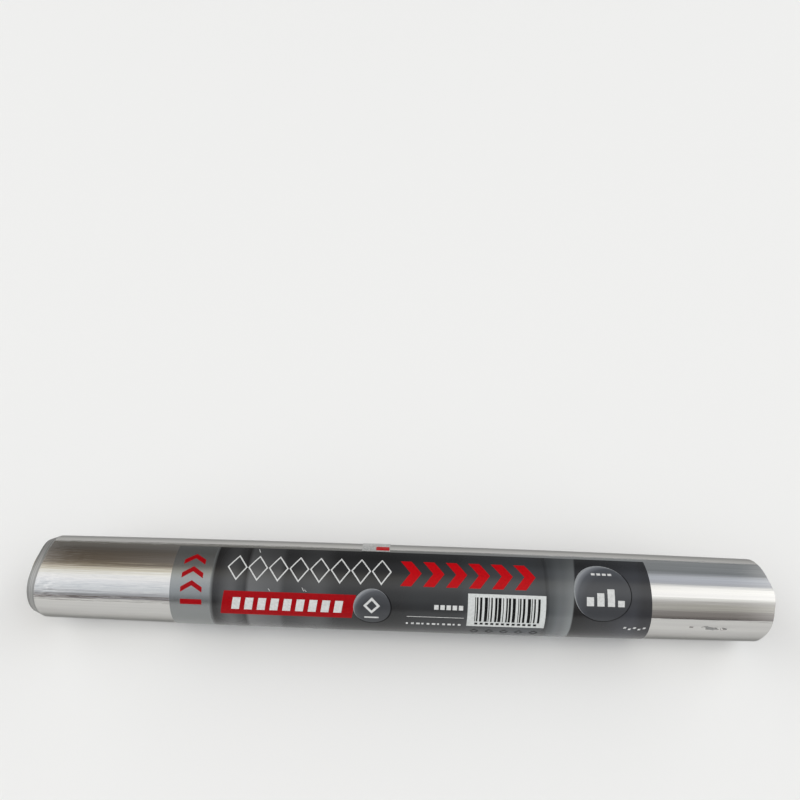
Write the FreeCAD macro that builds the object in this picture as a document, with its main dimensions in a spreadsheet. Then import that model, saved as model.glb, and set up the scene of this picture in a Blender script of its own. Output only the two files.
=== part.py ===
import FreeCAD, Part
import os
import Sketcher

# A roll of thick aluminium foil, lying on its side.
# The frame: X runs along the roll, Z is up, and the origin is under the middle of the roll, at the level of the
# table. Every piece is turned about the roll's own axis, which lies axis_height above the table.
# An angle around the roll is counted in degrees from the front (-Y), up over the top (90) to the back (180).

doc = FreeCAD.newDocument("foil_roll")
X_AXIS = FreeCAD.Vector(1, 0, 0)

# Driving sizes, in millimetres, degrees or plain counts
SIZES = {
    # the wound foil: the width of the sheet, and how thick the roll is at its middle
    "foil_width": 290.0,
    "foil_diameter": 34.5,
    # a tightly wound roll is fullest in its middle stretch, and loses this radius from there to each end
    "full_width": 150.0,
    "taper_drop": 0.8,
    # the outer turns have slid over each other, so that the inner ones stand out at one end
    "slide_length": 4.0,
    "slide_depth": 1.6,
    "slide_steps": 8,
    # the turns further in lie nearly flush, apart from a little unevenness
    "inner_rings": 6,
    "ring_relief": 0.25,
    # the free end of the sheet, a lip that lies this turn past the label's upper edge
    "lip_turn": 48.0,
    "lip_step": 0.15,
    # the cardboard tube that the foil is wound on
    "core_diameter": 24.0,
    "core_wall": 1.5,
    "core_overhang": 0.5,
    # the paper label: how far it is from the left edge of the foil, where around the roll its upper edge lies,
    # and how wide a strip of foil it leaves bare between its two long edges
    "label_start": 53.4,
    "label_width": 188.6,
    "label_thickness": 0.1,
    "label_angle": 112.0,
    "bare_strip": 18.4,
    # the strip of tape that holds the lip down, placed from the left edge of the label
    "tape_start": 74.0,
    "tape_width": 11.5,
    "tape_thickness": 0.06,
    "tape_clearance": 0.4,
    # how deep the roll has settled where it lies on the table, and the play between one piece and the next
    "flat_depth": 0.25,
    "fit_gap": 0.03,
}

sheet = doc.addObject("Spreadsheet::Sheet", "sizes")
for row, (alias, value) in enumerate(SIZES.items(), start=1):
    sheet.set(f"A{row}", alias)
    sheet.set(f"B{row}", str(value))
    sheet.setAlias(f"B{row}", alias)
doc.recompute()

# Places and radii that follow from the driving sizes
HALF_FOIL = "(sizes.foil_width / 2)"
MIDDLE_RADIUS = "(sizes.foil_diameter / 2)"
END_RADIUS = "(sizes.foil_diameter / 2 - sizes.taper_drop)"
CORE_RADIUS = "(sizes.core_diameter / 2)"
HALF_FULL = "(sizes.full_width / 2)"
AXIS_HEIGHT = f"({MIDDLE_RADIUS} + sizes.fit_gap + sizes.label_thickness - sizes.flat_depth)"
# the outer turns lie off the origin, because the turns that slid out and the core reach past them at one end
FOIL_MIDDLE = "((sizes.slide_length + sizes.core_overhang) / 2)"
CORE_MIDDLE = f"({FOIL_MIDDLE} - sizes.slide_length)"
# past either end of every turn
REACH = f"({HALF_FOIL} + 2 * sizes.slide_length)"
REACH_RADIUS = f"({MIDDLE_RADIUS} - sizes.taper_drop * ({REACH} - {HALF_FULL}) / ({HALF_FOIL} - {HALF_FULL}))"
LABEL_LEFT = f"(sizes.label_start - {HALF_FOIL})"
BARE_TURN = f"(sizes.bare_strip / ({MIDDLE_RADIUS} + sizes.fit_gap) * 180 / pi)"
CLEAR_TURN = f"(sizes.tape_clearance / ({MIDDLE_RADIUS} + sizes.fit_gap) * 180 / pi)"


def number(text):
    """The plain number that an expression over the sizes gives."""
    return float(sheet.evalExpression(text))


def size(alias):
    """A driving size, where a count is needed instead of an expression."""
    return sheet.get(alias)


def outline(sketch, corners):
    """Closes a loop of straight sides through corners, each a pair of expressions that stay tied to the sizes."""
    points = [FreeCAD.Vector(number(x), number(y), 0) for x, y in corners]
    count = len(points)
    for side in range(count):
        sketch.addGeometry(Part.LineSegment(points[side], points[(side + 1) % count]), False)
    for side in range(count):
        sketch.addConstraint(Sketcher.Constraint("Coincident", side, 2, (side + 1) % count, 1))
    for side, (x, y) in enumerate(corners):
        for kind, text in (("DistanceX", x), ("DistanceY", y)):
            place = sketch.addConstraint(Sketcher.Constraint(kind, -1, 1, side, 1, number(text)))
            sketch.setExpression(f"Constraints[{place}]", text)


def roll_outline(growth):
    """The roll's own outline from end to end, or that of a skin that lies growth above it."""
    return [(REACH, f"{REACH_RADIUS} + {growth}"), (HALF_FULL, f"{MIDDLE_RADIUS} + {growth}"),
            (f"-{HALF_FULL}", f"{MIDDLE_RADIUS} + {growth}"), (f"-{REACH}", f"{REACH_RADIUS} + {growth}")]


def body_with_axis(name, middle):
    """A body whose own X axis is the roll's axis, with its origin at a place along the roll."""
    body = doc.addObject("PartDesign::Body", name)
    body.Label = name
    body.setExpression("Placement.Base.x", middle)
    body.setExpression("Placement.Base.z", AXIS_HEIGHT)
    return body


def own_plane(body, role):
    """One of a body's own origin planes."""
    for plane in body.Origin.OriginFeatures:
        if plane.Role == role:
            return plane
    raise RuntimeError(f"{body.Label} has no {role}")


def sketch_on(body, role, name):
    """A sketch on one of a body's own planes."""
    sketch = body.newObject("Sketcher::SketchObject", name)
    sketch.AttachmentSupport = [(own_plane(body, role), "")]
    sketch.MapMode = "FlatFace"
    return sketch


# The core: a straight tube of wound cardboard, cut a little wider than the foil
def make_core():
    core = body_with_axis("core_tube", CORE_MIDDLE)
    ring = sketch_on(core, "YZ_Plane", "core_ring")
    for place, text in enumerate((CORE_RADIUS, f"{CORE_RADIUS} - sizes.core_wall")):
        circle = Part.Circle(FreeCAD.Vector(), FreeCAD.Vector(0, 0, 1), number(text))
        ring.addGeometry(circle, False)
        ring.addConstraint(Sketcher.Constraint("Coincident", place, 3, -1, 1))
        radius = ring.addConstraint(Sketcher.Constraint("Radius", place, number(text)))
        ring.setExpression(f"Constraints[{radius}]", text)
    tube = core.newObject("PartDesign::Pad", "core_length")
    tube.Profile = ring
    tube.Midplane = True
    tube.setExpression("Length", "sizes.foil_width + 2 * sizes.core_overhang")
    return core


# The foil: one long sheet wound on the core
def foil_steps():
    """The turns in groups, from the outside in: how far each has slid, and the radius of its inner side."""
    steps = []
    sliding = int(size("slide_steps"))
    for step in range(sliding):
        slid = f"sizes.slide_length * {step} / {sliding}"
        steps.append((slid, f"{END_RADIUS} - sizes.slide_depth * {step + 1} / {sliding}"))
    rings = int(size("inner_rings"))
    outside = f"({END_RADIUS} - sizes.slide_depth)"
    inside = f"({CORE_RADIUS} + sizes.fit_gap)"
    for ring in range(rings):
        # every third group stands back, as the edges of a long sheet never line up
        slid = f"sizes.slide_length - sizes.ring_relief * {ring % 3} / 2"
        steps.append((slid, f"{outside} - ({outside} - {inside}) * {ring + 1} / {rings}"))
    return steps


def make_foil():
    foil = body_with_axis("foil", FOIL_MIDDLE)

    # half of the roll's section: every turn is as wide as the sheet, and lies where it has slid to
    section = sketch_on(foil, "XZ_Plane", "foil_section")
    left_end = []
    right_end = []
    radius = END_RADIUS
    for slid, inner in foil_steps():
        for place in (radius, inner):
            left_end.append((f"-{HALF_FOIL} - ({slid})", place))
            right_end.append((f"{HALF_FOIL} - ({slid})", place))
        radius = inner
    full = [(f"-{HALF_FULL}", MIDDLE_RADIUS), (HALF_FULL, MIDDLE_RADIUS)]
    outline(section, full + right_end + left_end[::-1])
    wound = foil.newObject("PartDesign::Revolution", "foil_turns")
    wound.Profile = section
    wound.ReferenceAxis = (section, ["H_Axis"])
    wound.Angle = 360

    # the free end of the sheet: past the lip the turn below shows, and comes out to full size in a quarter turn
    lip = sketch_on(foil, "XZ_Plane", "lip_section")
    lip.AttachmentOffset = FreeCAD.Placement(FreeCAD.Vector(), FreeCAD.Rotation(X_AXIS, 1))
    lip.setExpression("AttachmentOffset.Rotation.Angle", "90 - sizes.label_angle - sizes.lip_turn")
    above = f"{MIDDLE_RADIUS} + sizes.lip_step"
    outline(lip, roll_outline("-sizes.lip_step") + [(f"-{REACH}", above), (REACH, above)])
    pivot = lip.addGeometry(Part.LineSegment(FreeCAD.Vector(-1, 0, 0), FreeCAD.Vector(1, 0, 0)), True)
    lip.addConstraint(Sketcher.Constraint("Symmetric", pivot, 1, pivot, 2, -2))
    lip.addConstraint(Sketcher.Constraint("DistanceX", pivot, 1, pivot, 2, 2))
    sunk = lip.addConstraint(Sketcher.Constraint("DistanceY", pivot, 1, -1, 1, number("sizes.lip_step")))
    lip.setExpression(f"Constraints[{sunk}]", "sizes.lip_step")
    stepped = foil.newObject("PartDesign::Groove", "foil_lip")
    stepped.Profile = lip
    stepped.ReferenceAxis = (lip, ["Axis0"])
    stepped.Angle = 90
    stepped.Reversed = False

    # the flat that the weight of the roll has pressed into its underside
    foot = sketch_on(foil, "XY_Plane", "foil_foot")
    foot.setExpression("AttachmentOffset.Base.z", f"sizes.flat_depth - {MIDDLE_RADIUS}")
    near = f"-{MIDDLE_RADIUS}"
    outline(foot, [(f"-{REACH}", near), (REACH, near), (REACH, MIDDLE_RADIUS), (f"-{REACH}", MIDDLE_RADIUS)])
    flat = foil.newObject("PartDesign::Pocket", "foil_flat")
    flat.Profile = foot
    flat.Type = 1
    flat.Reversed = False
    return foil


# A sheet wrapped round the foil follows its taper and its flat, and keeps its thickness
def turned(name, corners, start, turn):
    """A solid turned about the roll's axis from a closed outline, from one angle around the roll."""
    section = doc.addObject("Sketcher::SketchObject", f"{name}_section")
    section.Placement = FreeCAD.Placement(FreeCAD.Vector(), FreeCAD.Rotation(X_AXIS, 1))
    section.setExpression("Placement.Base.x", FOIL_MIDDLE)
    section.setExpression("Placement.Base.z", AXIS_HEIGHT)
    section.setExpression("Placement.Rotation.Angle", f"180 - ({start})")
    outline(section, corners)
    solid = doc.addObject("Part::Revolution", name)
    solid.Source = section
    solid.Axis = X_AXIS
    solid.setExpression("Base.z", AXIS_HEIGHT)
    solid.setExpression("Angle", turn)
    solid.Solid = True
    return solid


def pressed(name, growth, height):
    """The roll with a skin of some thickness, without what lies below a height above the table."""
    inside = f"({CORE_RADIUS} / 2)"
    whole = turned(f"{name}_whole", roll_outline(growth) + [(f"-{REACH}", inside), (REACH, inside)], "0", "360")
    below = doc.addObject("Part::Box", f"{name}_below")
    below.setExpression("Length", f"4 * {REACH}")
    below.setExpression("Width", f"4 * {MIDDLE_RADIUS}")
    below.setExpression("Height", MIDDLE_RADIUS)
    below.setExpression("Placement.Base.x", f"-2 * {REACH}")
    below.setExpression("Placement.Base.y", f"-2 * {MIDDLE_RADIUS}")
    below.setExpression("Placement.Base.z", f"{height} - {MIDDLE_RADIUS}")
    cut = doc.addObject("Part::Cut", name)
    cut.Base = whole
    cut.Tool = below
    return cut


def wrapped_sheet(name, left, width, thickness, start, turn):
    """A thin sheet round the foil, from a place along it and an angle around it, with the flat underneath."""
    outer = pressed(f"{name}_outside", f"(sizes.fit_gap + {thickness})", f"(sizes.label_thickness - {thickness})")
    inner = pressed(f"{name}_inside", "sizes.fit_gap", "sizes.label_thickness")
    right = f"({left} + {width})"
    inside = f"(3 / 4 * {CORE_RADIUS})"
    outside = f"({MIDDLE_RADIUS} + {CORE_RADIUS})"
    corners = [(left, inside), (right, inside), (right, outside), (left, outside)]
    slice_of_turn = turned(f"{name}_reach", corners, start, turn)
    piece = doc.addObject("Part::Common", f"{name}_block")
    piece.Base = outer
    piece.Tool = slice_of_turn
    wrapped = doc.addObject("Part::Cut", name)
    wrapped.Label = name
    wrapped.Base = piece
    wrapped.Tool = inner
    return wrapped


# The label: a printed sheet of paper, which leaves a strip of foil bare between its two long edges
def make_label():
    turn = f"360 - {BARE_TURN}"
    return wrapped_sheet("label", LABEL_LEFT, "sizes.label_width", "sizes.label_thickness", "sizes.label_angle", turn)


# The tape: a short strip that holds the free end of the foil down, across the bare strip
def make_tape():
    left = f"({LABEL_LEFT} + sizes.tape_start)"
    start = f"sizes.label_angle + {BARE_TURN} - {CLEAR_TURN}"
    turn = f"{BARE_TURN} - 2 * {CLEAR_TURN}"
    return wrapped_sheet("closing_tape", left, "sizes.tape_width", "sizes.tape_thickness", start, turn)


pieces = [make_core(), make_foil(), make_label(), make_tape()]
doc.recompute()

for thing in doc.Objects:
    if "Invalid" in thing.State or "Error" in thing.State:
        raise RuntimeError(f"{thing.Label} could not be built: {thing.State}")
for piece in pieces:
    if piece.Shape.isNull() or not piece.Shape.isValid():
        raise RuntimeError(f"{piece.Label} has no valid shape")

os.makedirs("parts", exist_ok=True)
for piece in pieces:
    piece.Shape.exportStep(f"parts/{piece.Label}.step")
    box = piece.Shape.BoundBox
    print(f"{piece.Label}: {len(piece.Shape.Solids)} solid, {piece.Shape.Volume:.1f} cubic mm, "
          f"X {box.XMin:.2f} to {box.XMax:.2f}, Y {box.YMin:.2f} to {box.YMax:.2f}, Z {box.ZMin:.2f} to {box.ZMax:.2f}")
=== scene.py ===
import math

import bmesh
import bpy
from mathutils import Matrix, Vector, noise


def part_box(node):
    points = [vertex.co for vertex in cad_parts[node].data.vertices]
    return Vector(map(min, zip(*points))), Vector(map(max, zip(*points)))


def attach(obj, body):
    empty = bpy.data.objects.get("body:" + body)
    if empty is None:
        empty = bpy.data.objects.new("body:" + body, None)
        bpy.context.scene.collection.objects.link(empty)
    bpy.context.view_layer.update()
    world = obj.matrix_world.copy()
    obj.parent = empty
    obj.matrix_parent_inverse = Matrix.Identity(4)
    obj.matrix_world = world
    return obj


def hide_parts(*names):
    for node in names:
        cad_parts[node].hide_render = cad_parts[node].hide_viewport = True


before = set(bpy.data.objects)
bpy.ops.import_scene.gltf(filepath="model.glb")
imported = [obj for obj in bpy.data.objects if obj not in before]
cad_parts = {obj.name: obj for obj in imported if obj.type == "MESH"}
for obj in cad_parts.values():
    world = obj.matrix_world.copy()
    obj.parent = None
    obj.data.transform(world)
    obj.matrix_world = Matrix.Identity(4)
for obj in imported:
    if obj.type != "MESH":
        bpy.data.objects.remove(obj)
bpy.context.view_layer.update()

# The cardboard core. A straight tube of grey-brown board, wound from plies that are glued in a spiral, and
# cut to length. The foil is wound on it, and its cut ends show inside the roll.
MM = 0.001
core_low, core_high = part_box("core_tube")
axis_height = (core_low.z + core_high.z) / 2
core_radius = (core_high.z - core_low.z) / 2
core_wall = 1.5 * MM
core_plies = 5
ply_unevenness = 0.08 * MM
core_sides = 128
same_place = 0.01 * MM
weld_distance = 0.001 * MM
smooth_below = math.radians(30)
black = (0, 0, 0, 1)
white = (1, 1, 1, 1)


def colour(code):
    """An sRGB hex colour as the linear colour that Blender works with."""
    parts = [int(code[place:place + 2], 16) / 255 for place in (1, 3, 5)]
    return [part / 12.92 if part <= 0.04045 else ((part + 0.055) / 1.055) ** 2.4 for part in parts] + [1]


def add_node(tree, kind, values=None, links=None, **settings):
    """Adds a node with its settings, the values of its input sockets and the links into them."""
    node = tree.nodes.new(kind)
    for name, value in settings.items():
        setattr(node, name, value)
    for socket, value in (values or {}).items():
        node.inputs[socket].default_value = value
    for socket, source in (links or {}).items():
        tree.links.new(source, node.inputs[socket])
    return node


def set_stops(ramp_node, stops):
    """Gives a colour ramp its stops, each a place from 0 to 1 and a linear colour."""
    ramp = ramp_node.color_ramp
    while len(ramp.elements) < len(stops):
        ramp.elements.new(1)
    for element, (place, stop_colour) in zip(ramp.elements, stops):
        element.position = place
        element.color = stop_colour


def start_material(name):
    """A new material with nothing in its node tree."""
    material = bpy.data.materials.new(name)
    material.use_nodes = True
    material.node_tree.nodes.clear()
    return material, material.node_tree


def select_only(piece):
    """Leaves one object selected and active."""
    bpy.ops.object.select_all(action="DESELECT")
    piece.select_set(True)
    bpy.context.view_layer.objects.active = piece


def name_new(name):
    """Names the object that was just added, and moves its place into its mesh."""
    piece = bpy.context.object
    piece.name = name
    piece.data.name = name
    bpy.ops.object.transform_apply(location=True, rotation=True, scale=True)
    return piece


bpy.ops.object.select_all(action="DESELECT")
bpy.ops.mesh.primitive_circle_add(vertices=core_sides, radius=core_radius, rotation=(0, math.pi / 2, 0),
                                  location=(core_low.x, 0, axis_height))
core = name_new("core_tube_board")
bpy.ops.object.mode_set(mode="EDIT")
bpy.ops.mesh.select_all(action="SELECT")
core_length = core_high.x - core_low.x
for end, way in ((core_high.x, 1), (core_low.x, -1)):
    # the wall, and then the plies across the cut end, in to the bore or back out from it. Every other ply has
    # sunk a little, and their number is odd, so the last one ends level
    bpy.ops.mesh.extrude_edges_move(TRANSFORM_OT_translate={"value": (way * core_length, 0, 0)})
    radius = core_radius if way == 1 else core_radius - core_wall
    for ply in range(core_plies):
        wanted = radius - way * core_wall / core_plies
        bpy.ops.mesh.extrude_edges_move()
        share = wanted / radius
        bpy.ops.transform.resize(value=(1, share, share), center_override=(end, 0, axis_height))
        if ply < core_plies - 1:
            step = ply_unevenness if ply % 2 else -ply_unevenness
            bpy.ops.transform.translate(value=(way * step, 0, 0))
        radius = wanted
bpy.ops.mesh.select_all(action="SELECT")
bpy.ops.mesh.remove_doubles(threshold=weld_distance)
bpy.ops.mesh.normals_make_consistent(inside=False)
bpy.ops.object.mode_set(mode="OBJECT")
bpy.ops.object.shade_smooth_by_angle(angle=smooth_below)

# wound board: matt, grey-brown and fibrous, with the spiral line where one turn of the strip meets the next
board, tree = start_material("wound cardboard")
strip_pitch = 55 * MM
seam_share = 0.012
fibre_size = 0.8 * MM
fibre_relief = 0.05 * MM
place = add_node(tree, "ShaderNodeTexCoord").outputs["Object"]
centred = add_node(tree, "ShaderNodeMapping", {"Location": (0, 0, -axis_height)}, {"Vector": place})
axes = add_node(tree, "ShaderNodeSeparateXYZ", links={"Vector": centred.outputs["Vector"]})
turn = add_node(tree, "ShaderNodeMath", links={0: axes.outputs["Z"], 1: axes.outputs["Y"]},
                operation="ARCTAN2")
turns = add_node(tree, "ShaderNodeMath", {1: 2 * math.pi}, {0: turn.outputs[0]}, operation="DIVIDE")
along = add_node(tree, "ShaderNodeMath", {1: strip_pitch}, {0: axes.outputs["X"]}, operation="DIVIDE")
spiral = add_node(tree, "ShaderNodeMath", links={0: along.outputs[0], 1: turns.outputs[0]}, operation="ADD")
seam = add_node(tree, "ShaderNodeMath", {1: 1.0}, {0: spiral.outputs[0]}, operation="FRACT")
seam_line = add_node(tree, "ShaderNodeValToRGB", links={"Fac": seam.outputs[0]})
set_stops(seam_line, [(0.0, black), (seam_share, white), (1 - seam_share, white), (1.0, black)])
fibre = add_node(tree, "ShaderNodeTexNoise", {"Scale": 1 / fibre_size, "Detail": 5.0}, {"Vector": place})
shade = add_node(tree, "ShaderNodeValToRGB", links={"Fac": fibre.outputs["Fac"]})
set_stops(shade, [(0.3, colour("#8f8170")), (0.7, colour("#b9a991"))])
darker = add_node(tree, "ShaderNodeMix", {"Factor": 0.45},
                  {"A": shade.outputs["Color"], "B": seam_line.outputs["Color"]},
                  data_type="RGBA", blend_type="MULTIPLY")
relief = add_node(tree, "ShaderNodeBump", {"Strength": 0.4, "Distance": fibre_relief},
                  {"Height": fibre.outputs["Fac"]})
shader = add_node(tree, "ShaderNodeBsdfPrincipled", {"Roughness": 0.88},
                  {"Base Color": darker.outputs["Result"], "Normal": relief.outputs["Normal"]})
add_node(tree, "ShaderNodeOutputMaterial", links={"Surface": shader.outputs["BSDF"]})
core.data.materials.append(board)
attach(core, "root")
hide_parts("core_tube")

# The foil. One long sheet of aluminium 0.03 mm thick, wound tight on the core. The roll is fullest in its
# middle, its outer turns have slid over each other at the left end, and its free edge is a lip at the back.
foil_low, foil_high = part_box("foil")
foil_radius = -foil_low.y
foil_width = 290 * MM
foil_right = foil_high.x
foil_middle = foil_right - foil_width / 2
taper_drop = 0.8 * MM
core_gap = 0.03 * MM
bore_radius = core_radius + core_gap
slide_length = 4 * MM
slid_rings = 10
level_rings = 14
slide_depth = 1.85 * MM
ring_relief = 0.12 * MM
lip_turn = math.radians(160)
lip_step = 0.15 * MM
foil_foot = 0.13 * MM
foil_sides = 320
foil_cuts = 109
end_cuts = 2
end_stretch = 42 * MM
# the outer turn and the bore, as shares of the way from the bore to the outside
outer_turn = 0.98
inner_turn = 0.01
wave_height = 0.018 * MM
wave_length = 8 * MM
wave_reach = 90 * MM
wave_middle = 0.4
ring_wander = 0.1 * MM
wander_lobes = 1.5
# Small crumples in the outer turn, in front: the place of each along the roll, its turn from the front, how
# far it spreads along and around the roll, and how high its folds are.
crumples = [(-138.0 * MM, math.radians(48), 7 * MM, 7 * MM, 0.20 * MM),
            (124.0 * MM, math.radians(18), 23 * MM, 2.6 * MM, 1.0 * MM)]
fold_width = 1.0 * MM
fold_stretch = 0.6
fold_middle = 0.3
# The left end has been knocked in at the top, and the right end low at the front, which made it bulge above.
# Each knock: how deep, the middle of it as a turn from the front, and how far it spreads.
left_knocks = [(2.4 * MM, math.radians(88), math.radians(38))]
right_knocks = [(1.8 * MM, math.radians(-12), math.radians(28)),
                (-0.9 * MM, math.radians(68), math.radians(16))]
knock_reach = 30 * MM
rim_round = 0.07 * MM


def roll_radius(along):
    """The roll's radius at a place along it."""
    share = (along - foil_middle) / (foil_width / 2)
    return foil_radius - taper_drop * share ** 2


bpy.ops.object.select_all(action="DESELECT")
bpy.ops.mesh.primitive_cylinder_add(vertices=foil_sides, radius=foil_radius, depth=foil_width,
                                    end_fill_type="NGON", location=(foil_middle, 0, axis_height),
                                    rotation=(0, math.pi / 2, 0))
foil = name_new("foil_wound")
bpy.ops.object.mode_set(mode="EDIT")


def select_where(kind, wanted):
    """Selects the faces or edges of the foil for which wanted(part) holds, and no others."""
    bpy.ops.mesh.select_mode(type=kind)
    bpy.ops.mesh.select_all(action="DESELECT")
    edited = bmesh.from_edit_mesh(foil.data)
    for part in edited.faces if kind == "FACE" else edited.edges:
        part.select = wanted(part)
    edited.select_flush_mode()
    bmesh.update_edit_mesh(foil.data)


def from_axis_of(vertex):
    """How far a vertex is from the roll's axis."""
    return math.hypot(vertex.co.y, vertex.co.z - axis_height)


# each end, which is one face with many corners: a ring of turns, then a step out or in to the next ring
end_facing = 0.9
ring_depth = (foil_radius - bore_radius - slide_depth) / level_rings
for way in (-1, 1):
    select_where("FACE", lambda face: face.normal.x * way > end_facing and len(face.verts) > 4)
    for ring in range(slid_rings):
        bpy.ops.mesh.inset(thickness=slide_depth / slid_rings)
        bpy.ops.mesh.extrude_region_move(TRANSFORM_OT_translate={"value": (-slide_length / slid_rings, 0, 0)})
    for ring in range(level_rings):
        bpy.ops.mesh.inset(thickness=ring_depth)
        # out, level and in by turns, and the innermost ring is level with the one before it
        step = ring_relief * (1 - ring % 3)
        if step and ring < level_rings - 1:
            bpy.ops.mesh.extrude_region_move(TRANSFORM_OT_translate={"value": (step, 0, 0)})
# the bore joins the two innermost faces
select_where("FACE", lambda face: abs(face.normal.x) > end_facing and len(face.verts) > 4)
bpy.ops.mesh.bridge_edge_loops()


def along_outside(edge, shortest, furthest_in):
    """Whether an edge runs along the outside, is long enough, and lies far enough from the middle."""
    first, last = edge.verts
    from_middle = abs((first.co.x + last.co.x) / 2 - foil_middle)
    long_enough = abs(first.co.x - last.co.x) > shortest
    return long_enough and from_middle >= furthest_in and from_axis_of(first) > foil_radius - same_place


def on_rim(vertex):
    """Whether a vertex is on the sharp edge at either end of the outside."""
    from_end = abs(abs(vertex.co.x - foil_middle) - foil_width / 2)
    return from_end < same_place and from_axis_of(vertex) > foil_radius - same_place


# cut across into short faces, and shorter ones near the ends, where the knocks and the crumples are
select_where("EDGE", lambda edge: along_outside(edge, foil_width / 2, 0))
bpy.ops.mesh.subdivide(number_cuts=foil_cuts)
short_face = foil_width / foil_cuts
select_where("EDGE", lambda edge: along_outside(edge, short_face / 2, foil_width / 2 - end_stretch))
bpy.ops.mesh.subdivide(number_cuts=end_cuts)
select_where("EDGE", lambda edge: all(on_rim(vertex) for vertex in edge.verts))
bpy.ops.mesh.bevel(offset=rim_round, segments=1)
bpy.ops.mesh.select_all(action="SELECT")
bpy.ops.mesh.normals_make_consistent(inside=False)
bpy.ops.object.mode_set(mode="OBJECT")

# the taper, the lip, the flat underneath, and the slight unevenness of a thin sheet wound by machine
knocked_ends = ((1, foil_right - foil_width - slide_length, left_knocks),
                (-1, foil_right, right_knocks))
for vertex in foil.data.vertices:
    along, across, height = vertex.co
    radius = math.hypot(across, height - axis_height)
    turn = math.atan2(height - axis_height, -across)
    outer = min(max((radius - bore_radius) / (foil_radius - bore_radius), 0), 1)
    new_radius = radius - (foil_radius - roll_radius(along)) * outer
    past_lip = (lip_turn - turn) % (2 * math.pi)
    if past_lip < math.pi / 2:
        new_radius -= lip_step * math.cos(past_lip) * outer ** 4
    if outer > outer_turn:
        round_place = Vector((across, height, 0)) / wave_length
        wave = noise.noise(round_place + Vector((0, 0, along / wave_reach)))
        new_radius += wave_height * (wave - wave_middle)
        for place, middle, spread, breadth, fold_height in crumples:
            reach = math.hypot((along - place) / spread, (turn - middle) * foil_radius / breadth)
            if reach < 1:
                fold = noise.noise(Vector((along * fold_stretch, turn * foil_radius, 0)) / fold_width)
                new_radius += fold_height * (fold - fold_middle) * (1 - reach) ** 2
    elif outer > inner_turn:
        lobe = Vector((math.cos(turn) * wander_lobes, math.sin(turn) * wander_lobes, radius / MM))
        along += ring_wander * noise.noise(lobe)
    for way, end, knocks in knocked_ends:
        nearness = max(1 - max(way * (along - end), 0) / knock_reach, 0)
        for depth, middle, spread in knocks:
            along += way * depth * math.exp(-((turn - middle) / spread) ** 2) * nearness ** 2 * outer
    new_height = axis_height + math.sin(turn) * new_radius
    vertex.co = (along, -math.cos(turn) * new_radius, max(new_height, foil_foot))
select_only(foil)
bpy.ops.object.shade_smooth_by_angle(angle=smooth_below)

# bright rolled aluminium: nearly a mirror, with faint streaks along the roll from the tension of winding
bright, tree = start_material("bright rolled aluminium foil")
streak_width = 1.3 * MM
streak_length = 90 * MM
streak_relief = 0.12 * MM
place = add_node(tree, "ShaderNodeTexCoord").outputs["Object"]
drawn_out = add_node(tree, "ShaderNodeMapping", {"Scale": (streak_width / streak_length, 1, 1)},
                     {"Vector": place})
streaks = add_node(tree, "ShaderNodeTexNoise", {"Scale": 1 / streak_width, "Detail": 4.0, "Roughness": 0.6},
                   {"Vector": drawn_out.outputs["Vector"]})
haze = add_node(tree, "ShaderNodeMapRange", {"To Min": 0.03, "To Max": 0.08},
                {"Value": streaks.outputs["Fac"]})
streak_axes = add_node(tree, "ShaderNodeSeparateXYZ", links={"Vector": place})
streak_depth = add_node(tree, "ShaderNodeMapRange", {"From Min": foil_middle - foil_width / 2, "To Min": 1.0,
                                                     "From Max": foil_middle, "To Max": 0.35},
                        {"Value": streak_axes.outputs["X"]})
winding = add_node(tree, "ShaderNodeBump", {"Distance": streak_relief},
                   {"Height": streaks.outputs["Fac"], "Strength": streak_depth.outputs["Result"]})
tint = add_node(tree, "ShaderNodeValToRGB", links={"Fac": streaks.outputs["Fac"]})
set_stops(tint, [(0.3, colour("#c6c5c3")), (0.7, colour("#d1d0cd"))])
shader = add_node(tree, "ShaderNodeBsdfPrincipled", {"Metallic": 1.0, "Specular Tint": (0.4, 0.4, 0.4, 1)},
                  {"Base Color": tint.outputs["Color"], "Roughness": haze.outputs["Result"],
                   "Normal": winding.outputs["Normal"]})
add_node(tree, "ShaderNodeOutputMaterial", links={"Surface": shader.outputs["BSDF"]})

# the stacked edges of the turns: the same metal, but hundreds of slit edges scatter the light to a matt grey.
# The turns are 0.03 mm apart, and are drawn at four times that so that they show.
slit, tree = start_material("slit edges of aluminium foil")
turn_pitch = 0.12 * MM
slit_relief = 0.04 * MM
place = add_node(tree, "ShaderNodeTexCoord").outputs["Object"]
centred = add_node(tree, "ShaderNodeMapping", {"Location": (0, 0, -axis_height), "Scale": (0, 1, 1)},
                   {"Vector": place})
from_axis = add_node(tree, "ShaderNodeVectorMath", links={0: centred.outputs["Vector"]}, operation="LENGTH")
counted = add_node(tree, "ShaderNodeMath", {1: turn_pitch}, {0: from_axis.outputs["Value"]},
                   operation="DIVIDE")
edges = add_node(tree, "ShaderNodeTexNoise", {"Scale": 1.0, "Detail": 2.0}, {"W": counted.outputs[0]},
                 noise_dimensions="1D")
grey = add_node(tree, "ShaderNodeValToRGB", links={"Fac": edges.outputs["Fac"]})
set_stops(grey, [(0.3, colour("#7a7a79")), (0.7, colour("#aaaaa8"))])
ridges = add_node(tree, "ShaderNodeBump", {"Strength": 0.5, "Distance": slit_relief},
                  {"Height": edges.outputs["Fac"]})
shader = add_node(tree, "ShaderNodeBsdfPrincipled", {"Metallic": 0.85, "Roughness": 0.5},
                  {"Base Color": grey.outputs["Color"], "Normal": ridges.outputs["Normal"]})
add_node(tree, "ShaderNodeOutputMaterial", links={"Surface": shader.outputs["BSDF"]})
foil.data.materials.append(bright)
foil.data.materials.append(slit)
inside_share = 0.985
end_slope = 0.3
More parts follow.
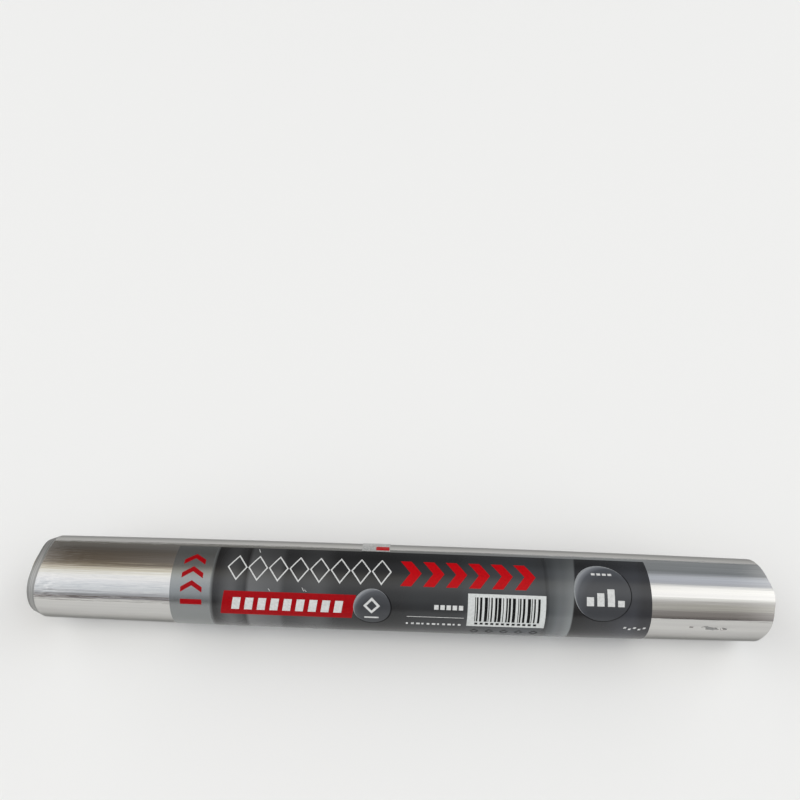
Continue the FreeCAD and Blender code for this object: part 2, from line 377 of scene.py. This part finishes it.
for face in foil.data.polygons:
    from_middle = math.hypot(face.center.y, face.center.z - axis_height)
    is_inside = from_middle < roll_radius(face.center.x) * inside_share
    face.material_index = int(is_inside or abs(face.normal.x) > end_slope)
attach(foil, "root")
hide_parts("foil")

# The label. A sheet of coated paper, printed dark grey with a silver panel at its left, and wrapped round the
# middle of the roll. Its two long edges leave a strip of foil bare along the top and back.
_, label_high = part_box("label")
label_from_end = 53.4 * MM
label_left = foil_right - foil_width + label_from_end
label_width = label_high.x - label_left
label_turn = math.radians(112)
label_gap = 0.03 * MM
label_thickness = 0.1 * MM
wrap_radius = foil_radius + label_gap
bare_strip = 18.4 * MM
label_round = 2 * math.pi * wrap_radius - bare_strip
panel_width = 16.2 * MM
label_columns = 96
label_rows = 260


def wrap(piece, first_turn):
    """Bends a flat piece round the roll: y 0 is the label's upper edge, and z the height above the foil."""
    for vertex in piece.data.vertices:
        along, down, above = vertex.co
        turn = first_turn + down / wrap_radius
        radius = roll_radius(along) + above
        height = axis_height + math.sin(turn) * radius
        vertex.co = (along, -math.cos(turn) * radius, max(height, foil_foot - above))
    piece.data.update()


def thicken(piece, thickness):
    """Gives a sheet its thickness, outwards from the side that was modelled."""
    solid = piece.modifiers.new("thickness", "SOLIDIFY")
    solid.thickness = thickness
    solid.offset = 1
    select_only(piece)
    bpy.ops.object.modifier_apply(modifier=solid.name)


bpy.ops.object.select_all(action="DESELECT")
bpy.ops.mesh.primitive_grid_add(x_subdivisions=label_columns, y_subdivisions=label_rows, size=1,
                                location=(label_left + label_width / 2, -label_round / 2, label_gap))
bpy.context.object.scale = (label_width, label_round, 1)
label = name_new("label_paper")
thicken(label, label_thickness)
wrap(label, label_turn)
bpy.ops.object.shade_smooth_by_angle(angle=smooth_below)

# coated paper under satin varnish: near-black ink with softly lighter upright bands, and silver ink at the
# left. The bands' places are in millimetres from the label's left edge.
printed, tree = start_material("printed coated paper")
sheet_place = add_node(tree, "ShaderNodeTexCoord").outputs["UV"]
sheet_axes = add_node(tree, "ShaderNodeSeparateXYZ", links={"Vector": sheet_place})
# the right edge of the light field is part of a large circle, so it bows to the left on its way down, from
# bow_sets_in to bow_full, which are shares of the label's width
bow = 3.3 * MM
bow_reach = 34 * MM
bow_sets_in = 0.79
bow_full = 0.845
from_reach = add_node(tree, "ShaderNodeMapRange", {"From Min": 1 - bow_reach / label_round, "From Max": 1.0},
                      {"Value": sheet_axes.outputs["Y"]})
squared = add_node(tree, "ShaderNodeMath", {1: 2.0}, {0: from_reach.outputs["Result"]}, operation="POWER")
bowed = add_node(tree, "ShaderNodeMapRange", {"To Min": bow / label_width, "To Max": 0.0},
                 {"Value": squared.outputs[0]})
in_field = add_node(tree, "ShaderNodeMapRange", {"From Min": bow_sets_in, "From Max": bow_full},
                    {"Value": sheet_axes.outputs["X"]})
moved = add_node(tree, "ShaderNodeMath",
                 links={0: bowed.outputs["Result"], 1: in_field.outputs["Result"]}, operation="MULTIPLY")
band_place = add_node(tree, "ShaderNodeMath", links={0: sheet_axes.outputs["X"], 1: moved.outputs[0]},
                      operation="ADD")
bands = add_node(tree, "ShaderNodeValToRGB", links={"Fac": band_place.outputs[0]})
bands.color_ramp.interpolation = "EASE"
dark = colour("#151516")
band_places = {17: "#1c1c1d", 24: "#565758", 28: "#3c3d3e", 29.4: "#202021", 31: "#6c6d6e", 42: "#5c5d5e",
               45: "#343536", 58: "#4a4b4c", 66: "#232425", 84: "#1a1b1c", 100: "#2a2c2e", 112: "#2c2e30",
               118: "#3a3d3f", 140: "#42464a", 146.8: "#3e4143", 147.6: "#222426", 148.6: "#4c5052",
               154: "#6a6e70", 160.2: "#828687", 160.6: "#121213", 172: "#26272a", 184: "#3a3c42",
               188.6: "#2c2d31"}
set_stops(bands, [(mm * MM / label_width, colour(code)) for mm, code in band_places.items()])
# the bands show fully half-way round and fade to dark towards both long edges; this fade is painted shade
painted_shade_down_sheet = add_node(tree, "ShaderNodeValToRGB", links={"Fac": sheet_axes.outputs["Y"]})
set_stops(painted_shade_down_sheet, [(0.0, (0.2, 0.2, 0.2, 1)), (0.5, white), (0.72, (0.85, 0.85, 0.85, 1)),
                       (0.9, (0.45, 0.45, 0.45, 1)), (1.0, (0.25, 0.25, 0.25, 1))])
field = add_node(tree, "ShaderNodeMix", {"A": dark},
                 {"Factor": painted_shade_down_sheet.outputs["Color"], "B": bands.outputs["Color"]}, data_type="RGBA")
panel_edge = panel_width / label_width
panel = add_node(tree, "ShaderNodeValToRGB", links={"Fac": sheet_axes.outputs["X"]})
set_stops(panel, [(panel_edge - 0.003, white), (panel_edge + 0.002, black)])
ink = add_node(tree, "ShaderNodeMix", {"B": colour("#8c8f8f")},
               {"Factor": panel.outputs["Color"], "A": field.outputs["Result"]}, data_type="RGBA")
silver_metallic = 0.9
shine = add_node(tree, "ShaderNodeMath", {1: silver_metallic}, {0: panel.outputs["Color"]},
                 operation="MULTIPLY")
grain_size = 1.2 * MM
grain_relief = 0.01 * MM
place = add_node(tree, "ShaderNodeTexCoord").outputs["Object"]
paper_grain = add_node(tree, "ShaderNodeTexNoise", {"Scale": 1 / grain_size, "Detail": 4.0},
                       {"Vector": place})
varnish = add_node(tree, "ShaderNodeMapRange", {"To Min": 0.20, "To Max": 0.28},
                   {"Value": paper_grain.outputs["Fac"]})
paper_relief = add_node(tree, "ShaderNodeBump", {"Strength": 0.05, "Distance": grain_relief},
                        {"Height": paper_grain.outputs["Fac"]})
shader = add_node(tree, "ShaderNodeBsdfPrincipled",
                  links={"Base Color": ink.outputs["Result"], "Metallic": shine.outputs[0],
                         "Roughness": varnish.outputs["Result"], "Normal": paper_relief.outputs["Normal"]})
add_node(tree, "ShaderNodeOutputMaterial", links={"Surface": shader.outputs["BSDF"]})
label.data.materials.append(printed)
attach(label, "root")
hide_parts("label")

# The print on the label. Plain fields and shapes in red, pale grey, white and near-black ink, each ink a
# layer of its own on the paper. Places are in millimetres from the left and upper edges of the flat label.
ink_gap = 0.006 * MM
ink_thickness = 0.012 * MM
strip_height = 0.5 * MM
strip_width = 4 * MM
disc_sides = 64


def flat(across, down):
    """A place on the flat label, from millimetres across and down from its upper left corner."""
    return label_left + across * MM, -down * MM, 0


def print_bar(across, down, width, height, slant=0.0):
    """A bar by its upper left corner, in millimetres, with its lower edge shifted left by slant."""
    bpy.ops.mesh.primitive_plane_add(size=1, location=flat(across + width / 2, down + height / 2))
    shape = bpy.context.object
    shape.scale = (width * MM, height * MM, 1)
    bpy.ops.object.transform_apply(location=True, rotation=True, scale=True)
    for vertex in shape.data.vertices:
        if vertex.co.y < -(down + height / 2) * MM:
            vertex.co.x -= slant * MM
    return shape


def print_chevron(across, down, width, height, point, upward=False):
    """A bar by its upper left corner, with its middle pushed right, or up, by the length of its point."""
    middle_x, middle_y, _ = flat(across + width / 2, down + height / 2)
    columns, rows = (2, 1) if upward else (1, 2)
    bpy.ops.mesh.primitive_grid_add(x_subdivisions=columns, y_subdivisions=rows, size=1,
                                    location=(middle_x, middle_y, 0))
    shape = bpy.context.object
    shape.scale = (width * MM, height * MM, 1)
    bpy.ops.object.transform_apply(location=True, rotation=True, scale=True)
    for vertex in shape.data.vertices:
        if upward and abs(vertex.co.x - middle_x) < same_place:
            vertex.co.y += point * MM
        elif not upward and abs(vertex.co.y - middle_y) < same_place:
            vertex.co.x += point * MM
    return shape


def print_disc(across, down, radius, sides=disc_sides, narrow=1.0):
    """A filled disc, or a regular shape with few sides, by its middle. It may be narrower than it is high."""
    bpy.ops.mesh.primitive_circle_add(vertices=sides, radius=radius * MM, fill_type="NGON",
                                      location=flat(across, down))
    shape = bpy.context.object
    shape.scale.x = narrow
    bpy.ops.object.transform_apply(location=True, rotation=True, scale=True)
    return shape


def print_ring(across, down, radius, line, sides=disc_sides, narrow=1.0):
    """A ring, or the outline of a regular shape with few sides."""
    shape = print_disc(across, down, radius, sides, narrow)
    bpy.ops.object.mode_set(mode="EDIT")
    bpy.ops.mesh.select_all(action="SELECT")
    bpy.ops.mesh.inset(thickness=line * MM)
    bpy.ops.mesh.delete(type="FACE")
    bpy.ops.object.mode_set(mode="OBJECT")
    return shape


def print_layer(name, shapes, material, layer, sheet=label_thickness):
    """Joins shapes of one ink, cuts them into strips that can bend, and lays them on a sheet."""
    bpy.ops.object.select_all(action="DESELECT")
    for shape in shapes:
        shape.select_set(True)
    bpy.context.view_layer.objects.active = shapes[0]
    if len(shapes) > 1:
        bpy.ops.object.join()
    piece = bpy.context.object
    piece.name = name
    piece.data.name = name
    bpy.ops.object.mode_set(mode="EDIT")
    bpy.ops.mesh.select_mode(type="FACE")
    for axis, step in ((Vector((0, 1, 0)), strip_height), (Vector((1, 0, 0)), strip_width)):
        places = [vertex.co.dot(axis) for vertex in bmesh.from_edit_mesh(piece.data).verts]
        for strip in range(math.ceil(min(places) / step), math.ceil(max(places) / step)):
            bpy.ops.mesh.select_all(action="SELECT")
            bpy.ops.mesh.bisect(plane_co=axis * strip * step, plane_no=axis)
    bpy.ops.object.mode_set(mode="OBJECT")
    thicken(piece, ink_thickness)
    base = label_gap + sheet + ink_gap + layer * (ink_thickness + ink_gap)
    for vertex in piece.data.vertices:
        vertex.co.z += base
    wrap(piece, label_turn)
    piece.data.materials.clear()
    piece.data.materials.append(material)
    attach(piece, "root")


def printing_ink(name, code, darker, roughness):
    """Offset ink under satin varnish: an even colour, mottled a little where it has sunk into the paper."""
    material, tree = start_material(name)
    mottle_size = 0.9 * MM
    mottle_relief = 0.01 * MM
    place = add_node(tree, "ShaderNodeTexCoord").outputs["Object"]
    mottle = add_node(tree, "ShaderNodeTexNoise", {"Scale": 1 / mottle_size, "Detail": 4.0},
                      {"Vector": place})
    tone = add_node(tree, "ShaderNodeValToRGB", links={"Fac": mottle.outputs["Fac"]})
    set_stops(tone, [(0.3, colour(darker)), (0.6, colour(code))])
    relief = add_node(tree, "ShaderNodeBump", {"Strength": 0.04, "Distance": mottle_relief},
                      {"Height": mottle.outputs["Fac"]})
    shader = add_node(tree, "ShaderNodeBsdfPrincipled", {"Roughness": roughness, "Specular IOR Level": 0.1},
                      {"Base Color": tone.outputs["Color"], "Normal": relief.outputs["Normal"]})
    add_node(tree, "ShaderNodeOutputMaterial", links={"Surface": shader.outputs["BSDF"]})
    return material


red_ink = printing_ink("red offset ink", "#b4030e", "#a6020c", 0.3)
deep_red_ink = printing_ink("deep red offset ink", "#99030d", "#8c020b", 0.3)
pale_ink = printing_ink("pale grey offset ink", "#cfd0cf", "#bfc0bf", 0.4)
white_ink = printing_ink("white offset ink", "#cdd0cf", "#c0c3c2", 0.4)
black_ink = printing_ink("black offset ink", "#141415", "#0d0d0e", 0.3)

# the red layers: a row of bold chevrons, and in deeper red a stack of them and a slanted bar
red_shapes = [print_chevron(90.0 + 9.0 * step, 4.7, 4.4, 10.0, 4.0) for step in range(6)]
print_layer("label_print_red", red_shapes, red_ink, 0)
deep_red_shapes = [print_chevron(4.2, 7.0 + 5.4 * step, 8.4, 2.0, 2.6, upward=True) for step in range(3)]
deep_red_shapes.append(print_bar(4.2, 22.6, 8.4, 2.2))
deep_red_shapes.append(print_bar(21.4, 18.6, 51.6, 10.0, 1.6))
print_layer("label_print_deep_red", deep_red_shapes, deep_red_ink, 0)

# the white panel, with dark upright bars of uneven width on it
panel_left = 116.7
panel_top = 16.6
print_layer("label_print_white", [print_bar(panel_left, panel_top, 30.5, 14.2)], white_ink, 0)
bar_shapes = []
across = panel_left + 2.8
count = 0
while across < panel_left + 27.5:
    width = 0.3 + 0.3 * ((count * 5) % 4)
    bar_shapes.append(print_bar(across, panel_top + 1.3, width, 10.2))
    across += width + 0.35 + 0.3 * ((count * 7) % 3)
    count += 1
for mark in range(12):
    bar_shapes.append(print_bar(panel_left + 3.0 + 2.1 * mark, panel_top + 12.1, 1.2, 1.1))
for mark in range(5):
    bar_shapes.append(print_ring(panel_left + 3.4 + 5.9 * mark, 34.6, 1.8, 0.45, sides=4))
print_layer("label_print_black", bar_shapes, black_ink, 1)

# the pale layer: a row of thin diamonds, and small dashes and blocks
pale_shapes = []
for step in range(8):
    pale_shapes.append(print_ring(25.6 + 8.15 * step, 9.5, 5.2, 0.5, 4, 0.76))
for mark in range(5):
    pale_shapes.append(print_bar(103.6 + 2.4 * mark, 21.4, 1.7, 1.9))
pale_shapes.append(print_bar(93.0, 26.6, 22.4, 0.22))
for mark in range(11):
    pale_shapes.append(print_bar(92.8 + 2.05 * mark, 29.9, 0.8 + 0.3 * (mark % 3), 1.0))
for mark in range(5):
    pale_shapes.append(print_bar(178.6 + 1.9 * mark, 28.6 + 0.8 * (mark % 2), 1.0, 0.9, 0.3))
for row in range(7):
    reach = 0
    while reach < 84:
        dash = 4 + (row * 5 + int(reach)) % 7
        pale_shapes.append(print_bar(26 + reach, 64.0 + 2.6 * row, dash, 0.7))
        reach += dash + 1.6
pale_shapes.append(print_ring(144.0, 73.0, 9.0, 0.6, sides=4))
# and a few thin pale slanted slivers: the place and the length of each
pale_slivers = ((32.4, 0.8, 1.8), (38.4, 17.4, 0.9), (51.6, 16.6, 1.3), (52.6, 17.3, 0.8))
for sliver_across, sliver_down, sliver_length in pale_slivers:
    pale_shapes.append(print_bar(sliver_across, sliver_down, 0.25, sliver_length, -0.8))
print_layer("label_print_pale", pale_shapes, pale_ink, 0)

# two round buttons, each with a black rim, a thin light crescent, a grey body that is lighter at its upper
# left, and plain marks. With them come the blocks on the slanted bar.
button_ink, tree = start_material("grey graded offset ink")
button_place = add_node(tree, "ShaderNodeTexCoord").outputs["UV"]
shade_middle = (0.63, 0.36, 0)
from_shade = add_node(tree, "ShaderNodeVectorMath", {1: shade_middle}, {0: button_place},
                      operation="DISTANCE")
graded = add_node(tree, "ShaderNodeValToRGB", links={"Fac": from_shade.outputs["Value"]})
set_stops(graded, [(0.0, colour("#323438")), (0.45, colour("#34363a")), (0.59, colour("#44474c")),
                   (0.65, colour("#6a6d72")), (0.69, colour("#8e9195"))])
shader = add_node(tree, "ShaderNodeBsdfPrincipled", {"Roughness": 0.3},
                  {"Base Color": graded.outputs["Color"]})
add_node(tree, "ShaderNodeOutputMaterial", links={"Surface": shader.outputs["BSDF"]})
crescent_ink = printing_ink("light grey offset ink", "#8e9193", "#7f8284", 0.35)
buttons = ((79.2, 23.2, 7.2), (169.1, 14.6, 11.05))
rim_shift = 0.35
rim_width = 0.3
rims = [print_disc(x + rim_shift, y + rim_shift, r + rim_width) for x, y, r in buttons]
print_layer("label_button_rims", rims, black_ink, 1)
crescents = [print_disc(x, y, r) for x, y, r in buttons]
print_layer("label_button_crescents", crescents, crescent_ink, 2)
body_shift = 0.035
body_share = 0.99
bodies = [print_disc(x + r * body_shift, y + r * body_shift, r * body_share) for x, y, r in buttons]
print_layer("label_buttons", bodies, button_ink, 3)
marks = [print_bar(25.0 + 5.0 * mark, 21.1, 3.1, 5.0, 0.8) for mark in range(9)]
marks.append(print_ring(79.2, 22.6, 3.3, 0.9, sides=4))
marks.append(print_bar(76.4, 27.4, 5.6, 0.7))
marks += [print_bar(163.0 + 4.1 * step, 16.4 - 1.6 * step, 2.8, 3.4 + 1.6 * step) for step in range(3)]
marks.append(print_bar(175.2, 17.4, 2.6, 2.4))
marks += [print_bar(165.6 + 2.2 * mark, 7.0, 1.5, 0.9) for mark in range(4)]
print_layer("label_marks", marks, pale_ink, 4)

# The closing tape. A short strip of frosted film with a red bar printed on it. It is stuck across the bare
# strip, and holds the foil's free edge down.
tape_low, tape_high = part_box("closing_tape")
tape_thickness = 0.06 * MM
tape_clearance = 0.4 * MM
tape_length = bare_strip - 2 * tape_clearance
tape_columns = 24
tape_rows = 60
bpy.ops.object.select_all(action="DESELECT")
bpy.ops.mesh.primitive_grid_add(x_subdivisions=tape_columns, y_subdivisions=tape_rows, size=1,
                                location=((tape_low.x + tape_high.x) / 2, -tape_length / 2, label_gap))
bpy.context.object.scale = (tape_high.x - tape_low.x, tape_length, 1)
tape = name_new("closing_tape_film")
thicken(tape, tape_thickness)
wrap(tape, label_turn + (bare_strip - tape_clearance) / wrap_radius)
bpy.ops.object.shade_smooth_by_angle(angle=smooth_below)

film, tree = start_material("frosted adhesive tape")
place = add_node(tree, "ShaderNodeTexCoord").outputs["Object"]
frost_size = 0.7 * MM
frost_depth = 0.02 * MM
frost = add_node(tree, "ShaderNodeTexNoise", {"Scale": 1 / frost_size, "Detail": 4.0}, {"Vector": place})
frost_shade = add_node(tree, "ShaderNodeValToRGB", links={"Fac": frost.outputs["Fac"]})
set_stops(frost_shade, [(0.35, colour("#9fa09f")), (0.65, colour("#c4c4c2"))])
frost_relief = add_node(tree, "ShaderNodeBump", {"Strength": 0.3, "Distance": frost_depth},
                        {"Height": frost.outputs["Fac"]})
shader = add_node(tree, "ShaderNodeBsdfPrincipled", {"Metallic": 0.35, "Roughness": 0.45},
                  {"Base Color": frost_shade.outputs["Color"], "Normal": frost_relief.outputs["Normal"]})
add_node(tree, "ShaderNodeOutputMaterial", links={"Surface": shader.outputs["BSDF"]})
tape.data.materials.append(film)
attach(tape, "root")
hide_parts("closing_tape")
print_layer("closing_tape_print", [print_bar(79.8, -4.2, 5.4, 3.0)], red_ink, 0, tape_thickness)

# The floor. A plain sheet of pale matt paper, so wide that its edges are far from the roll. It keeps the
# roll's shadow.
floor_size = 12.0
bpy.ops.object.select_all(action="DESELECT")
bpy.ops.mesh.primitive_plane_add(size=floor_size)
floor = name_new("floor")
pale, tree = start_material("plain pale floor")
shader = add_node(tree, "ShaderNodeBsdfPrincipled", {"Base Color": colour("#efefee"), "Roughness": 0.9})
add_node(tree, "ShaderNodeOutputMaterial", links={"Surface": shader.outputs["BSDF"]})
floor.data.materials.append(pale)

# The light. A soft studio: a wide bright ceiling from the front to overhead, dim walls, and two bright sides.
# The ceiling's near edge is lower at the left than at the right, as the long highlight on the foil shows.
world = bpy.data.worlds.new("soft studio")
bpy.context.scene.world = world
world.use_nodes = True
tree = world.node_tree
tree.nodes.clear()
towards = add_node(tree, "ShaderNodeTexCoord").outputs["Generated"]
axes = add_node(tree, "ShaderNodeSeparateXYZ", links={"Vector": towards})
horizon = 0.0001
front = add_node(tree, "ShaderNodeMath", {1: -1.0}, {0: axes.outputs["Y"]}, operation="MULTIPLY")
above = add_node(tree, "ShaderNodeMath", {1: horizon}, {0: axes.outputs["Z"]}, operation="MAXIMUM")
rise = add_node(tree, "ShaderNodeMath", links={0: above.outputs[0], 1: front.outputs[0]}, operation="ARCTAN2")
# 0 is level with the floor in front, 0.5 is overhead and 1 is level with the floor behind
height = add_node(tree, "ShaderNodeMath", {1: math.pi}, {0: rise.outputs[0]}, operation="DIVIDE")
# each stop of a side of the room: its height, and its red, green and blue light
left_stops = [(0.0, 0.19, 0.16, 0.155), (0.03, 0.20, 0.18, 0.18), (0.06, 0.50, 0.52, 0.55),
              (0.10, 0.48, 0.50, 0.55), (0.13, 1.02, 1.05, 1.08), (0.15, 0.74, 0.79, 0.86),
              (0.175, 1.05, 1.08, 1.12), (0.20, 0.70, 0.76, 0.84), (0.23, 1.24, 1.26, 1.30),
              (0.255, 0.86, 0.91, 0.99), (0.28, 1.28, 1.28, 1.31), (0.305, 0.88, 0.91, 0.98),
              (0.335, 1.34, 1.34, 1.34), (0.36, 1.00, 1.02, 1.06), (0.39, 1.25, 1.25, 1.20),
              (0.42, 1.00, 0.98, 0.92), (0.46, 0.90, 0.86, 0.72), (0.50, 0.55, 0.48, 0.38),
              (0.53, 0.24, 0.20, 0.15), (0.60, 0.16, 0.13, 0.10), (0.75, 0.12, 0.10, 0.08),
              (0.85, 0.14, 0.13, 0.12), (1.0, 0.24, 0.23, 0.21)]
right_stops = [(0.0, 0.12, 0.11, 0.108), (0.05, 0.27, 0.25, 0.24), (0.12, 0.31, 0.29, 0.28),
               (0.17, 0.55, 0.54, 0.50), (0.23, 0.50, 0.49, 0.46), (0.27, 0.60, 0.59, 0.57),
               (0.32, 1.15, 1.16, 1.14), (0.35, 1.42, 1.42, 1.42), (0.49, 1.42, 1.42, 1.40),
               (0.53, 0.62, 0.64, 0.68), (0.57, 0.60, 0.63, 0.70), (0.63, 0.68, 0.72, 0.80),
               (0.69, 0.52, 0.55, 0.60), (0.73, 0.28, 0.30, 0.32), (0.84, 0.30, 0.32, 0.34),
               (1.0, 0.36, 0.38, 0.40)]
left_room = add_node(tree, "ShaderNodeValToRGB", links={"Fac": height.outputs[0]})
set_stops(left_room, [(place, (red, green, blue, 1)) for place, red, green, blue in left_stops])
right_room = add_node(tree, "ShaderNodeValToRGB", links={"Fac": height.outputs[0]})
set_stops(right_room, [(place, (red, green, blue, 1)) for place, red, green, blue in right_stops])
# the two sides of the room blend across the middle
blend_reach = 0.45
side = add_node(tree, "ShaderNodeMapRange", {"From Min": -blend_reach, "From Max": blend_reach},
                {"Value": axes.outputs["X"]})
room = add_node(tree, "ShaderNodeMix",
                links={"Factor": side.outputs["Result"], "A": left_room.outputs["Color"],
                       "B": right_room.outputs["Color"]}, data_type="RGBA")
# the side light starts beyond what the foil mirrors towards the camera, and is weaker straight to the sides
off_middle = add_node(tree, "ShaderNodeMath", links={0: axes.outputs["X"]}, operation="ABSOLUTE")
at_sides = add_node(tree, "ShaderNodeMapRange", {"From Min": 0.50, "From Max": 0.72},
                    {"Value": off_middle.outputs[0]})
towards_side = add_node(tree, "ShaderNodeMapRange", {"From Min": 0.78, "From Max": 0.90},
                        {"Value": off_middle.outputs[0]})
side_light = add_node(tree, "ShaderNodeMix", {"A": (1.9, 1.9, 1.9, 1), "B": white},
                      {"Factor": towards_side.outputs["Result"]}, data_type="RGBA")
lit = add_node(tree, "ShaderNodeMix",
               links={"Factor": at_sides.outputs["Result"], "A": room.outputs["Result"],
                      "B": side_light.outputs["Result"]}, data_type="RGBA")
studio_strength = 1.07
glow = add_node(tree, "ShaderNodeBackground", {"Strength": studio_strength}, {"Color": lit.outputs["Result"]})
add_node(tree, "ShaderNodeOutputWorld", links={"Surface": glow.outputs["Background"]})

# The camera. It looks down at the roll from the front, with the roll low in its view. Its place and its lens
# were fitted to the roll's outline and to the label's edges in the photo.
camera_distance = 262.3 * MM
camera_elevation = math.radians(62)
camera_offset = -1.3 * MM
camera_tilt = math.radians(45.34)
camera_roll = math.radians(-1.30)
camera_turn = math.radians(1.47)
focal_length = 26.91
film_width = 36
bpy.ops.object.camera_add(location=(camera_offset, -camera_distance * math.cos(camera_elevation),
                                    axis_height + camera_distance * math.sin(camera_elevation)),
                          rotation=(camera_tilt, camera_roll, camera_turn))
camera = bpy.context.object
camera.data.lens = focal_length
camera.data.sensor_width = film_width
camera.data.clip_start = 0.01
bpy.context.scene.camera = camera
bpy.context.scene.view_settings.view_transform = "Standard"
